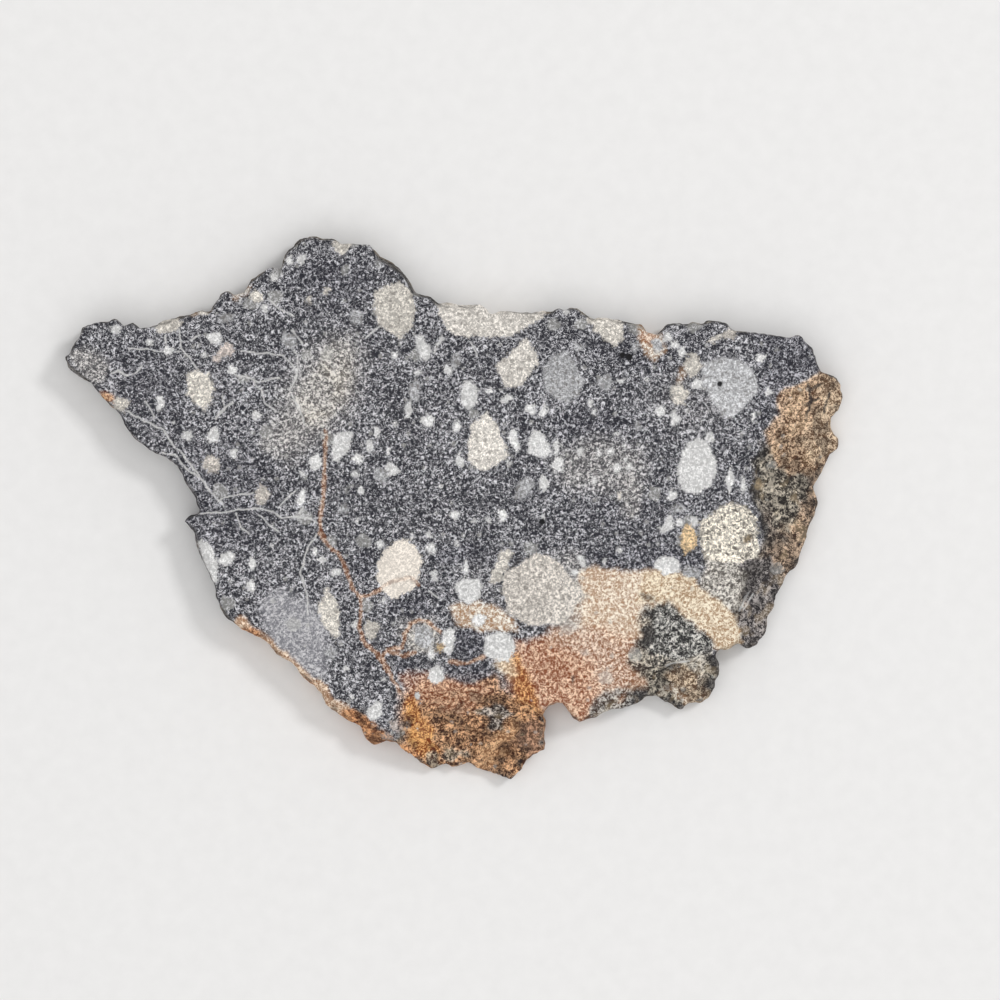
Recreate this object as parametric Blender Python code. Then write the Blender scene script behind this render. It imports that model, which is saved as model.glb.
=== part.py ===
"""A thin sawn slice of lunar breccia, lying flat on its lower sawn face.

The rough stone met the saw twice. Both faces are flat, the short walls between them are broken or
natural rock, and to the east and south the stone's own lumpy skin slopes down past the upper cut.
The origin is under the middle of the slice, +X runs along its length and +Z up.
"""

import math

import bmesh
import bpy
import numpy as np
from mathutils import Matrix, Vector, noise

MM = 0.001

# Driving sizes
THICKNESS = 3.0 * MM
COLUMN_STEP = 0.42 * MM
WALL_LEVELS = [level * MM for level in (0.30, 0.80, 1.30, 1.80, 2.30, 2.72)]
WELD_DISTANCE = 0.02 * MM
STILL_FLAT = math.radians(1)
SHARP_EDGE = math.radians(35)

# The walls: how far they stand in from the outline, also at top and foot, and how rough they are
WALL_SET_BACK = 0.10 * MM
TOP_SET_BACK = 0.10 * MM
FOOT_SET_BACK = 0.20 * MM
TOP_ROUNDING, FOOT_ROUNDING = 6, 3
GRAIN_SIZE, GRAIN_DEPTH = 1.0 * MM, 0.26 * MM
BULGE_SIZE, BULGE_DEPTH = 2.6 * MM, 0.20 * MM
LEDGE_SIZE, LEDGE_RISE = 1.4 * MM, 0.28 * MM

# The natural skin: how deep it falls below the upper cut, and over what distance
SKIN_FALL = 2.1 * MM
SKIN_RUN = 1.9 * MM
SKIN_STEP = 0.46 * MM
LUMP_SIZE, LUMP_HEIGHT = 1.9 * MM, 0.55 * MM
KNOB_SIZE, KNOB_HEIGHT = 0.8 * MM, 0.20 * MM
KNOB_NOISE_LEVEL = 10 * MM
LEAST_SKIN_HEIGHT = 0.45 * MM
LEAST_SLOPE = 0.05
CLEAR_OF_CUT = 0.6 * MM
CUTTER_HALF_LENGTH, CUTTER_HALF_WIDTH = 28 * MM, 20 * MM
CUTTER_TOP = 2 * THICKNESS

# The outline seen from above, in millimetres, clockwise from the western tip
WEST_SHOULDER = [
    (-26.1, 10.1), (-25.6, 10.4), (-25.4, 11.1), (-25.0, 11.5), (-24.8, 12.0), (-24.4, 12.3),
    (-23.8, 12.5), (-23.2, 12.5), (-22.7, 12.8), (-22.4, 12.7), (-22.0, 12.3), (-21.5, 12.4),
    (-20.9, 12.0), (-20.4, 12.3), (-19.5, 12.5), (-17.5, 13.1), (-16.8, 13.3), (-16.4, 13.2),
]
CLIMB_TO_PEAK = [
    (-16.2, 13.7), (-15.5, 14.3), (-15.2, 14.4), (-14.7, 14.2), (-14.1, 14.4), (-13.8, 15.0),
    (-13.5, 15.4), (-12.9, 15.8), (-12.5, 16.1), (-12.1, 16.2), (-11.6, 16.1), (-11.5, 16.5),
    (-11.2, 17.1), (-10.7, 17.6), (-10.2, 18.0), (-9.3, 18.2), (-8.9, 17.9), (-8.1, 18.1),
    (-7.5, 17.8), (-5.6, 17.6),
]
STEPS_DOWN = [
    (-4.9, 16.8), (-4.5, 16.6), (-3.9, 16.1), (-3.4, 15.8), (-3.1, 15.3), (-2.7, 14.8),
    (-2.6, 14.4), (-1.6, 14.2), (-1.0, 13.7),
]
NORTH_EDGE = [
    (0.9, 13.6), (1.6, 13.7), (2.0, 13.4), (2.4, 13.0), (3.4, 13.2), (6.4, 13.2), (7.0, 13.5),
    (7.3, 13.3), (7.8, 13.5), (8.4, 13.4), (8.7, 13.1), (9.3, 12.8), (10.1, 12.8), (11.8, 12.4),
    (12.5, 12.2), (13.0, 11.8), (13.5, 11.8), (13.7, 12.1), (14.1, 12.4), (15.1, 12.5),
    (15.6, 12.3), (16.0, 12.4), (16.4, 12.3), (16.9, 12.5), (17.5, 12.5), (18.2, 12.4),
    (18.7, 11.9), (20.1, 11.7), (20.5, 11.6), (22.4, 11.4), (22.6, 11.6), (23.2, 11.6),
]
EAST_SIDE = [
    (23.5, 11.3), (23.9, 10.8), (24.2, 10.2), (24.4, 9.7), (24.6, 9.3), (25.1, 9.0), (25.6, 8.8),
    (25.9, 8.3), (26.1, 7.7), (26.1, 7.1), (25.8, 6.5), (25.3, 6.0), (25.2, 5.6), (25.5, 5.1),
    (25.9, 4.6), (25.8, 3.9), (25.4, 3.5), (24.8, 2.5), (24.2, 1.5), (24.2, 1.1), (24.5, 0.5),
    (24.4, 0.0), (24.1, -0.7), (23.5, -1.5), (23.5, -2.1), (23.1, -3.5), (22.8, -4.1),
    (22.4, -4.4), (22.1, -4.9), (21.5, -6.2), (21.4, -6.9), (21.0, -7.2), (21.0, -8.3),
    (20.3, -9.3), (19.6, -9.5), (18.9, -9.1),
]
SOUTH_EAST_LUMPS = [
    (18.3, -9.4), (17.7, -9.5), (17.5, -9.9), (17.7, -10.3), (17.7, -11.1), (17.5, -11.6),
    (17.5, -12.0), (17.2, -12.7), (16.6, -13.1), (15.8, -13.2), (15.2, -13.7), (14.8, -13.5),
    (14.5, -13.2), (13.9, -13.1), (13.4, -12.8), (12.9, -12.8), (12.3, -13.2), (11.4, -13.5),
    (10.3, -13.5), (9.9, -13.7), (9.4, -14.1), (8.4, -14.3), (7.9, -14.1), (7.2, -13.2),
]
SOUTH_LOBE = [
    (6.8, -13.1), (6.3, -13.4), (6.1, -13.9), (6.3, -14.1), (6.1, -15.1), (6.2, -15.7),
    (6.1, -16.2), (4.9, -16.9), (4.5, -17.5), (4.0, -18.0), (3.7, -18.2), (3.3, -18.0),
    (2.5, -17.9), (2.0, -17.7), (0.9, -17.0), (0.3, -17.3), (-0.1, -17.4), (-0.5, -17.2),
    (-1.5, -17.7), (-1.9, -17.5), (-3.0, -16.5), (-3.9, -15.8),
]
SOUTH_WEST_SIDE = [
    (-4.5, -15.7), (-5.4, -15.8), (-5.8, -15.5), (-6.3, -14.7), (-7.6, -13.8), (-8.3, -13.6),
    (-8.7, -13.2), (-9.0, -12.4), (-9.5, -12.1), (-10.0, -11.7), (-10.5, -10.9), (-10.9, -10.4),
    (-11.9, -9.8), (-12.5, -9.1), (-13.1, -8.7), (-14.7, -7.8), (-15.2, -7.4), (-16.0, -6.0),
    (-16.1, -5.2), (-16.7, -4.0), (-17.0, -3.1), (-17.6, -1.6), (-18.2, -0.8),
]
WEST_SIDE = [
    (-17.7, -0.5), (-17.0, -0.3), (-17.4, 0.9), (-18.0, 1.9), (-18.4, 2.7), (-19.0, 3.1),
    (-20.2, 3.8), (-21.2, 4.5), (-22.1, 5.4), (-22.6, 6.5), (-23.3, 7.2), (-24.0, 7.8),
    (-24.4, 8.3), (-25.2, 8.9), (-25.8, 9.4),
]
OUTLINE = (
    WEST_SHOULDER + CLIMB_TO_PEAK + STEPS_DOWN + NORTH_EDGE + EAST_SIDE
    + SOUTH_EAST_LUMPS + SOUTH_LOBE + SOUTH_WEST_SIDE + WEST_SIDE
)

# Where the upper cut ends and the natural skin begins, in millimetres, from north-east to south-west
SKIN_EDGE = [
    (24.9, 9.5), (23.9, 8.9), (23.4, 8.4), (21.7, 7.7), (21.9, 7.1), (21.6, 6.5), (22.1, 5.7),
    (21.2, 5.4), (20.8, 4.4), (20.1, 3.9), (19.8, 2.5), (19.6, 1.0), (20.2, -0.4), (20.5, -2.3),
    (20.0, -3.5), (18.7, -3.7), (19.1, -5.0), (18.8, -6.2), (18.0, -6.8), (18.7, -7.6),
    (18.9, -9.6), (17.4, -9.9), (16.6, -9.6), (15.0, -10.2), (13.0, -10.4), (12.0, -11.3),
    (10.8, -12.2), (9.4, -13.0), (7.5, -14.6), (6.4, -13.6), (5.0, -12.9), (3.2, -12.4),
    (1.0, -12.0), (-1.4, -12.2), (-3.2, -12.8), (-3.7, -14.2), (-4.0, -15.4), (-4.7, -14.6),
    (-5.6, -14.1), (-5.9, -13.1), (-7.1, -13.3), (-8.2, -12.8), (-8.8, -11.7), (-9.9, -11.1),
    (-10.1, -10.6), (-11.0, -10.2), (-11.6, -9.5), (-12.7, -8.3), (-13.8, -8.0), (-14.6, -8.4),
]
FAR_ROUND_THE_NORTH = [(-40.0, -8.0), (-40.0, 40.0), (40.0, 40.0), (40.0, 9.5)]

# Lumps and hollows of the skin by name: x, y, radius and height, in millimetres
SKIN_FEATURES = {
    "east lobe": (25.0, 7.4, 1.5, 0.40),
    "east shoulder": (23.0, 4.4, 1.9, 0.30),
    "east groove": (24.1, 8.0, 0.5, -0.40),
    "hollow beside the cut": (20.6, 1.1, 0.7, -0.45),
    "dark bump": (21.9, 2.0, 1.0, 0.35),
    "east foot": (24.0, -0.2, 0.9, 0.30),
    "south-east knuckle": (16.4, -11.4, 1.2, 0.40),
    "south-east toe": (15.2, -12.9, 0.8, 0.35),
    "south-east hollow": (14.6, -11.5, 0.8, -0.35),
    "south knob": (5.0, -15.6, 1.2, 0.45),
    "south hollow": (3.3, -16.3, 0.5, -0.55),
    "south-west lump": (-5.5, -15.0, 0.8, 0.30),
}
# The pale ridge on the southern lobe: its two ends, half width and height, in millimetres
RIDGE_START, RIDGE_END = (1.7, -16.3), (4.2, -14.6)
RIDGE_HALF_WIDTH, RIDGE_HEIGHT = 0.55, 0.60

COLLECTION = "lunar_meteorite"
CUTTERS = "cutters"


def clear_scene():
    for scene_object in list(bpy.data.objects):
        bpy.data.objects.remove(scene_object, do_unlink=True)


def new_collection(name):
    collection = bpy.data.collections.new(name)
    bpy.context.scene.collection.children.link(collection)
    return collection


def rock_material():
    """Dark blue-grey breccia, sawn and left unpolished."""
    material = bpy.data.materials.new("breccia")
    material.use_nodes = True
    shader = material.node_tree.nodes["Principled BSDF"]
    shader.inputs["Base Color"].default_value = (0.115, 0.115, 0.130, 1.0)
    shader.inputs["Roughness"].default_value = 0.8
    shader.inputs["Metallic"].default_value = 0.0
    return material


def with_columns(outline, step):
    """The outline in metres, with points added so that no stretch between two is longer than step."""
    points = []
    for start, end in zip(outline, outline[1:] + outline[:1]):
        start, end = Vector(start) * MM, Vector(end) * MM
        pieces = max(1, math.ceil((end - start).length / step))
        points += [start.lerp(end, piece / pieces) for piece in range(pieces)]
    return points


def slab_mesh(points, thickness):
    """A closed slab of this outline standing on z = 0, from a filled flat curve."""
    curve = bpy.data.curves.new("outline", "CURVE")
    curve.dimensions = "2D"
    curve.fill_mode = "BOTH"
    curve.extrude = thickness / 2
    spline = curve.splines.new("POLY")
    spline.points.add(len(points) - 1)
    for spline_point, point in zip(spline.points, points):
        spline_point.co = (point.x, point.y, 0.0, 1.0)
    spline.use_cyclic_u = True

    outline = bpy.data.objects.new("outline", curve)
    bpy.context.scene.collection.objects.link(outline)
    graph = bpy.context.evaluated_depsgraph_get()
    mesh = bpy.data.meshes.new_from_object(outline.evaluated_get(graph))
    mesh.transform(Matrix.Translation((0.0, 0.0, thickness / 2)))
    bpy.data.objects.remove(outline, do_unlink=True)
    return mesh


def wall_offset(share, place):
    """How far the wall stands out of the outline at this share of the height."""
    rounding = TOP_SET_BACK * share**TOP_ROUNDING + FOOT_SET_BACK * (1.0 - share) ** FOOT_ROUNDING
    grain = GRAIN_DEPTH * noise.noise(place / GRAIN_SIZE)
    bulge = BULGE_DEPTH * noise.noise(place / BULGE_SIZE)
    return grain + bulge - WALL_SET_BACK - rounding


def roughen_walls(mesh):
    """Cuts the walls into rings and breaks them up, while both sawn faces stay flat."""
    slab = bmesh.new()
    slab.from_mesh(mesh)
    bmesh.ops.remove_doubles(slab, verts=slab.verts, dist=WELD_DISTANCE)
    bmesh.ops.dissolve_limit(slab, angle_limit=STILL_FLAT, verts=slab.verts, edges=slab.edges)
    for level in WALL_LEVELS:
        everything = slab.verts[:] + slab.edges[:] + slab.faces[:]
        bmesh.ops.bisect_plane(slab, geom=everything, plane_co=(0, 0, level), plane_no=(0, 0, 1))
    slab.normal_update()

    outward = {vert: Vector((vert.normal.x, vert.normal.y, 0.0)).normalized() for vert in slab.verts}
    for vert, direction in outward.items():
        place = vert.co.copy()
        vert.co += direction * wall_offset(place.z / THICKNESS, place)
        if WELD_DISTANCE < place.z < THICKNESS - WELD_DISTANCE:
            vert.co.z += LEDGE_RISE * noise.noise(place / LEDGE_SIZE)
    slab.to_mesh(mesh)
    slab.free()


def distance_to_line(x, y, line):
    """The distance from each place to a line through these points."""
    nearest = np.full(x.shape, np.inf)
    for (ax, ay), (bx, by) in zip(line, line[1:]):
        along = ((x - ax) * (bx - ax) + (y - ay) * (by - ay)) / ((bx - ax) ** 2 + (by - ay) ** 2)
        along = np.clip(along, 0.0, 1.0)
        gap = np.hypot(x - ax - along * (bx - ax), y - ay - along * (by - ay))
        nearest = np.minimum(nearest, gap)
    return nearest


def inside(x, y, loop):
    """True for each place inside the closed loop, by counting the crossings to its east."""
    crossings = np.zeros(x.shape, dtype=int)
    for (ax, ay), (bx, by) in zip(loop, loop[1:] + loop[:1]):
        if ay == by:
            continue
        spans = (ay > y) != (by > y)
        crossings += spans & (x < ax + (y - ay) * (bx - ax) / (by - ay))
    return crossings % 2 == 1


def skin_height(x, y):
    """The height of the stone's natural skin over each place. All values are in metres."""
    x_mm, y_mm = x / MM, y / MM
    outward = distance_to_line(x_mm, y_mm, SKIN_EDGE) * MM
    sawn = inside(x_mm, y_mm, SKIN_EDGE + FAR_ROUND_THE_NORTH)

    lumps = np.array([noise.noise(Vector((u, v, 0.0)) / LUMP_SIZE) for u, v in zip(x, y)])
    knobs = np.array([noise.noise(Vector((u, v, KNOB_NOISE_LEVEL)) / KNOB_SIZE) for u, v in zip(x, y)])
    relief = LUMP_HEIGHT * lumps + KNOB_HEIGHT * knobs
    for centre_x, centre_y, radius, height in SKIN_FEATURES.values():
        reach = np.hypot(x_mm - centre_x, y_mm - centre_y) / radius
        relief += height * MM * np.exp(-(reach**2))
    across = distance_to_line(x_mm, y_mm, [RIDGE_START, RIDGE_END]) / RIDGE_HALF_WIDTH
    relief += RIDGE_HEIGHT * MM * np.exp(-(across**2))

    settled = 1.0 - np.exp(-outward / SKIN_RUN)
    skin = THICKNESS - SKIN_FALL * settled + relief * settled
    skin = np.maximum(skin, LEAST_SKIN_HEIGHT)
    above_cut = THICKNESS + np.minimum(outward, CLEAR_OF_CUT)
    return np.where(sawn, above_cut, np.minimum(skin, THICKNESS - LEAST_SLOPE * outward))


def skin_cutter(half_length, half_width):
    """A block whose underside is the natural skin: all that the stone never filled."""
    block = bmesh.new()
    bmesh.ops.create_grid(
        block,
        x_segments=round(2 * half_length / SKIN_STEP),
        y_segments=round(2 * half_width / SKIN_STEP),
        size=1.0,
        matrix=Matrix.Diagonal((half_length, half_width, 1.0, 1.0)),
    )
    places = np.array([vert.co for vert in block.verts])
    heights = skin_height(places[:, 0], places[:, 1])
    for vert, height in zip(block.verts, heights):
        vert.co.z = height
    top = bmesh.ops.extrude_face_region(block, geom=block.faces[:])
    for vert in top["geom"]:
        if isinstance(vert, bmesh.types.BMVert):
            vert.co.z = CUTTER_TOP
    bmesh.ops.recalc_face_normals(block, faces=block.faces)

    mesh = bpy.data.meshes.new("above_skin")
    block.to_mesh(mesh)
    block.free()
    return mesh


def build():
    clear_scene()
    parts = new_collection(COLLECTION)
    cutters = new_collection(CUTTERS)

    mesh = slab_mesh(with_columns(OUTLINE, COLUMN_STEP), THICKNESS)
    roughen_walls(mesh)
    mesh.shade_smooth()
    mesh.set_sharp_from_angle(angle=SHARP_EDGE)
    mesh.materials.append(rock_material())
    meteorite = bpy.data.objects.new("meteorite_slice", mesh)
    parts.objects.link(meteorite)

    cutter_mesh = skin_cutter(CUTTER_HALF_LENGTH, CUTTER_HALF_WIDTH)
    above_skin = bpy.data.objects.new("above_skin", cutter_mesh)
    above_skin.display_type = "WIRE"
    above_skin.hide_render = True
    cutters.objects.link(above_skin)

    natural_skin = meteorite.modifiers.new("natural skin", "BOOLEAN")
    natural_skin.operation = "DIFFERENCE"
    natural_skin.object = above_skin
    slivers = meteorite.modifiers.new("no slivers", "WELD")
    slivers.merge_threshold = WELD_DISTANCE


build()
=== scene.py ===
# %% [markdown]
# # A sawn slice of lunar breccia
#
# The real thing is a thin slice that a diamond saw cut from a stone from the Moon. Its broad faces are
# flat and show the inside of the rock: a blue-grey ground full of pale broken fragments, which are called
# clasts. Its rim is the stone's own rough skin, stained tan and rust by the desert it lay in.
#
# The frame is the solid that was built before. This script leaves that solid as it is, and
# makes a finer copy of it that carries the looks.

# %% Load the fixed frame
import math
import random

import bmesh
import bpy
import numpy as np
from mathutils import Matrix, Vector, noise


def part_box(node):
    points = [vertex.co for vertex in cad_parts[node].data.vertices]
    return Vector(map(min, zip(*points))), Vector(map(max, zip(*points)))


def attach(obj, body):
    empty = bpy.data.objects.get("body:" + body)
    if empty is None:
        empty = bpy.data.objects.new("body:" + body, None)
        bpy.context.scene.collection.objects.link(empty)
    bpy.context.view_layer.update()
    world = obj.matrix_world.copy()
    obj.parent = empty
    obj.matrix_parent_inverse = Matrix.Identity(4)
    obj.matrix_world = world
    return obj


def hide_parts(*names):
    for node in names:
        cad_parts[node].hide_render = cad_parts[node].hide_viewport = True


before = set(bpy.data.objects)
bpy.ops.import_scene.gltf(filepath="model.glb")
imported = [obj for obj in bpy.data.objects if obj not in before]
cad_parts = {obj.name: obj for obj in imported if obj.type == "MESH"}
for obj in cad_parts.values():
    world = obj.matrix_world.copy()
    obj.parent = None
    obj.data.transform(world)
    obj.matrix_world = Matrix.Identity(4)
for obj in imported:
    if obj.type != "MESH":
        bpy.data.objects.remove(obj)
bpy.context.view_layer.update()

MM = 0.001
SLICE = "meteorite_slice"
low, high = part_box(SLICE)
print("slice", [round(side / MM, 2) for side in high - low], "mm")

# %% [markdown]
# ## From the photograph to the slice
#
# The photograph looks straight down, so a place in it is a place on the cut face. Three numbers turn one
# into the other: the scale, and the pixel that lies over the frame's origin. Every marking below is
# written where it was seen, in pixels, and is worked out in metres here.

# %% Scale and origin of the photograph
PIXELS_PER_MM = 15.0
PIXEL = MM / PIXELS_PER_MM
ORIGIN_PIXEL = np.array((454.2, 508.2))
PHOTO_SIZE = 1000


def photo_places(points):
    """Where points of the slice, in metres, are seen in the photograph, in pixels."""
    return points[:, :2] * (1, -1) / PIXEL + ORIGIN_PIXEL


def over(pixel):
    """The place on the ground, in metres, that lies under a pixel."""
    x, y = (np.array(pixel) - ORIGIN_PIXEL) * PIXEL
    return Vector((x, -y, 0))


print("the photograph is", round(PHOTO_SIZE * PIXEL / MM, 1), "mm wide at the cut face")

# %% [markdown]
# ## The finer copy
#
# A mesh holds a marking only as finely as its own points are spaced. A voxel remesh gives even little
# squares everywhere, which suits a marking that can lie anywhere. It also rounds the saw's sharp edge by
# about one square, as a real edge is worn. The CAD mesh is loose triangles, so a copy is merged first.

# %% Merge a copy of the solid and give it even faces
SPACING = 0.145 * MM


def joined_copy(node):
    """A copy of a node's mesh with its loose triangles joined."""
    shape = bmesh.new()
    shape.from_mesh(node.data)
    bmesh.ops.remove_doubles(shape, verts=shape.verts, dist=0.001 * MM)
    mesh = bpy.data.meshes.new("joined")
    shape.to_mesh(mesh)
    shape.free()
    return mesh


def even_faces(mesh, spacing):
    """The mesh made again from small squares of one size."""
    draft = bpy.data.objects.new("draft", mesh)
    bpy.context.collection.objects.link(draft)
    remesh = draft.modifiers.new("even faces", "REMESH")
    remesh.mode = "VOXEL"
    remesh.voxel_size = spacing
    seen = draft.evaluated_get(bpy.context.evaluated_depsgraph_get())
    even = bpy.data.meshes.new_from_object(seen)
    bpy.data.objects.remove(draft)
    return even


rock = even_faces(joined_copy(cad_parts[SLICE]), SPACING)
print("even faces:", len(rock.polygons))

# %% [markdown]
# ## The two saw cuts
#
# The remesh leaves the cuts a hair uneven, so points near a cut are put back on it. The lower cut lies on
# the table and needs less: its small faces are dissolved to one, which is then sliced into a coarse grid,
# so that the triangles go where they are seen.

# %% Put the points back on both cuts and thin out the lower one
NEAR = 0.35 * SPACING
UNDER_GRID = 0.6 * MM

shape = bmesh.new()
shape.from_mesh(rock)
for point in shape.verts:
    if point.co.z > high.z - NEAR:
        point.co.z = high.z
    if point.co.z < low.z + NEAR:
        point.co.z = low.z

under = [face for face in shape.faces if all(point.co.z == low.z for point in face.verts)]
under = bmesh.ops.dissolve_faces(shape, faces=under, use_verts=False)["region"]
for axis in (0, 1):
    across = Vector((axis == 0, axis == 1, 0))
    for cut in np.arange(low[axis] + UNDER_GRID, high[axis], UNDER_GRID):
        around = {edge for face in under for edge in face.edges}
        corners = {point for face in under for point in face.verts}
        sliced = bmesh.ops.bisect_plane(
            shape, geom=[*under, *around, *corners], plane_co=across * cut, plane_no=across, dist=1e-9
        )
        under = [part for part in sliced["geom"] if isinstance(part, bmesh.types.BMFace)]
bmesh.ops.triangulate(shape, faces=[face for face in shape.faces if len(face.verts) > 4])
shape.to_mesh(rock)
shape.free()
print("after thinning the lower cut:", sum(len(face.vertices) - 2 for face in rock.polygons), "triangles")

# %% [markdown]
# ## The veins
#
# Thin cracks ran through the rock and were filled, some with white mineral and some with rust that came
# in with water on Earth. Each is a line of places, and each point of the mesh will learn how far the
# nearest line is. A white vein is thinner than a face of the mesh is wide, so the faces along the white
# veins are cut finer first.

# %% Lines of veins
WHITE_VEINS = [
    [(179, 328), (181, 349), (188, 356), (197, 369)],
    [(129, 349), (144, 349), (162, 351), (179, 352)],
    [
        (126, 410), (144, 421), (160, 428), (165, 433), (172, 444), (183, 454), (192, 468), (203, 480),
        (208, 490), (218, 499), (224, 506),
    ],
    [(161, 453), (175, 455), (185, 467), (199, 478)],
    [(145, 401), (152, 411), (154, 419)],
    [(269, 299), (279, 308), (294, 317)],
    [(292, 330), (302, 344)],
    [(241, 351), (257, 354), (269, 353), (284, 356), (294, 368), (297, 374)],
    [(234, 375), (251, 379), (259, 382), (279, 378)],
    [(253, 380), (256, 387), (262, 389), (264, 402), (276, 411)],
    [(366, 337), (382, 324)],
    [
        (199, 513), (224, 512), (241, 510), (259, 508), (272, 512), (282, 518), (298, 517), (308, 518),
        (317, 523),
    ],
    [(218, 501), (231, 496), (252, 493)],
    [(236, 514), (240, 527), (249, 533)],
    [(258, 514), (269, 524), (278, 532)],
    [(318, 533), (308, 547), (303, 565), (300, 572), (304, 583), (308, 600), (308, 615)],
    [(278, 508), (285, 500), (296, 490)],
    [(300, 514), (304, 506)],
    [(739, 612), (750, 590)],
    [(744, 610), (754, 594)],
    [(470, 341), (474, 347), (477, 357)],
    [(665, 666), (672, 663), (690, 661)],
    [(429, 590), (439, 599)],
    [(112, 373), (118, 370), (125, 375), (135, 374), (142, 366)],
    [(166, 335), (167, 346), (165, 352)],
    [(190, 340), (200, 335)],
    [(193, 385), (190, 395)],
    [(222, 395), (224, 410)],
    [(215, 418), (223, 410), (233, 402)],
    [(292, 345), (298, 355), (297, 375), (290, 390), (300, 410), (305, 425)],
]
RUST_VEINS = [
    [
        (326, 430), (325, 453), (325, 472), (324, 486), (322, 506), (320, 519), (320, 532), (328, 545),
        (340, 556), (346, 570), (352, 588), (361, 597), (361, 612), (359, 628), (365, 644), (382, 656),
        (391, 677), (400, 692),
    ],
    [(361, 597), (369, 596), (383, 587), (392, 582), (401, 579), (414, 579), (418, 584)],
    [(449, 661), (463, 664), (485, 656)],
    [(382, 656), (388, 650), (403, 648), (405, 634), (410, 623), (420, 620), (432, 624), (440, 632)],
    [(362, 640), (374, 652), (384, 664), (392, 680)],
    [(390, 652), (404, 656), (416, 652)],
]
# Dark seams in the cut. The lines at the upper left and upper right of the rim are painted shade: they darken the
# steep wall there.
DARK_SEAMS_AND_RIM_SHADE = [
    [(522, 555), (511, 568), (504, 580), (502, 592)],
    [(576, 350), (579, 370), (579, 390)],
    [(808, 343), (816, 356), (824, 370)],
    [(809, 391), (820, 384)],
    [(805, 405), (820, 399)],
    [(825, 412), (830, 392)],
    [(809, 384), (812, 400), (806, 420)],
    [(812, 490), (820, 522)],
    [(800, 545), (807, 530)],
    [(380, 268), (395, 278), (412, 292)],
]
VEIN_REACH = 8.0


def from_lines(places, lines):
    """How far each place is from the nearest of some lines, in pixels, up to the reach."""
    nearest = np.full(len(places), VEIN_REACH)
    for line in np.array([pair for each in lines for pair in zip(each, each[1:])], float):
        start, end = line
        side = end - start
        near = np.flatnonzero(
            (places > line.min(0) - VEIN_REACH).all(1) & (places < line.max(0) + VEIN_REACH).all(1)
        )
        share = np.clip((places[near] - start) @ side / (side @ side), 0, 1)
        away = np.hypot(*(places[near] - start - share[:, None] * side).T)
        nearest[near] = np.minimum(nearest[near], away)
    return nearest


# %% Cut the faces along the white veins finer
FINER_REACH = 2.6

shape = bmesh.new()
shape.from_mesh(rock)
shape.verts.ensure_lookup_table()
ends = np.array([tuple(point.co) for point in shape.verts])
beside = (from_lines(photo_places(ends), WHITE_VEINS) < FINER_REACH) & (ends[:, 2] > high.z - NEAR)
along = [edge for edge in shape.edges if all(beside[point.index] for point in edge.verts)]
bmesh.ops.subdivide_edges(shape, edges=along, cuts=1, use_grid_fill=True)
bmesh.ops.triangulate(shape, faces=[face for face in shape.faces if len(face.verts) > 4])
shape.to_mesh(rock)
shape.free()
print("finer along the veins:", sum(len(face.vertices) - 2 for face in rock.polygons), "triangles")

# %% [markdown]
# ## The rough skin
#
# Around the rim the stone was never cut. Its skin is knobbly at two sizes. Each point there moves along
# its normal by a noise value, and the value is kept as an attribute, so that the finish can paint shade
# into the hollows and a pale highlight onto the knobs. The cuts stay flat, and the box of the solid is kept.

# %% Roughen what the saw left
KNOBS = {0.95 * MM: 0.13 * MM, 0.38 * MM: 0.07 * MM}
SETTLE = 0.35 * MM

bulk = np.empty(len(rock.vertices) * 3)
rock.vertices.foreach_get("co", bulk)
points = bulk.reshape(-1, 3)
normals = np.empty_like(bulk)
rock.vertex_normals.foreach_get("vector", normals)
normals = normals.reshape(-1, 3)


def noise_at(places, size, seed):
    """A noise value for each place, from about -1 to 1, with lumps about one size across."""
    shift = Vector((seed, 2 * seed, 3 * seed))
    return np.array([noise.noise(Vector(place) / size + shift) for place in places])


depth = high.z - points[:, 2]
rough = np.clip(depth / SETTLE, 0, 1) * np.clip((points[:, 2] - low.z) / SETTLE, 0, 1)
skin = np.flatnonzero(rough > 0)
relief = np.zeros(len(points))
push = np.zeros(len(points))
for size, lift in KNOBS.items():
    lumps = noise_at(points[skin], size, seed=size / MM)
    relief[skin] += lumps * lift / sum(KNOBS.values())
    push[skin] += lumps * lift
points += normals * (push * rough)[:, None]
points = np.clip(points, low, high)
print("rough points:", len(skin), "of", len(points))

# %% [markdown]
# ## Pits in the cut
#
# A few small black holes are open in the cut face. The points over each one sink, so that the pit is a
# real hollow, and an attribute marks it. The finish paints it black: painted shade inside the hole.

# %% Sink the pits
PITS = [(622.3, 355.1, 2.9), (629.3, 357.0, 3.3), (719.8, 383.8, 2.6), (542.0, 521.8, 3.0)]
PIT_DEPTH = 0.25 * MM

seen_at = photo_places(points)
on_cut = points[:, 2] > high.z - NEAR
pit = np.full(len(points), 9.0)
for x, y, radius in PITS:
    pit = np.minimum(pit, np.hypot(*(seen_at - (x, y)).T) - radius)
points[on_cut, 2] -= PIT_DEPTH * np.clip(-pit[on_cut] / 2, 0, 1)
rock.vertices.foreach_set("co", points.ravel())
rock.update()
print("pits:", len(PITS))

# %% [markdown]
# ## The clasts
#
# A clast is a broken bit of older rock, so its outline is angular and never quite regular. Each small one
# is a many-sided shape drawn inside an oval, and the large ones have their own corners. A clast is flush
# with the cut, so it is a marking: every point of the mesh learns how far it is from the nearest outline,
# and that distance, blended across a face, gives the finish an edge far finer than the mesh.

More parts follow.
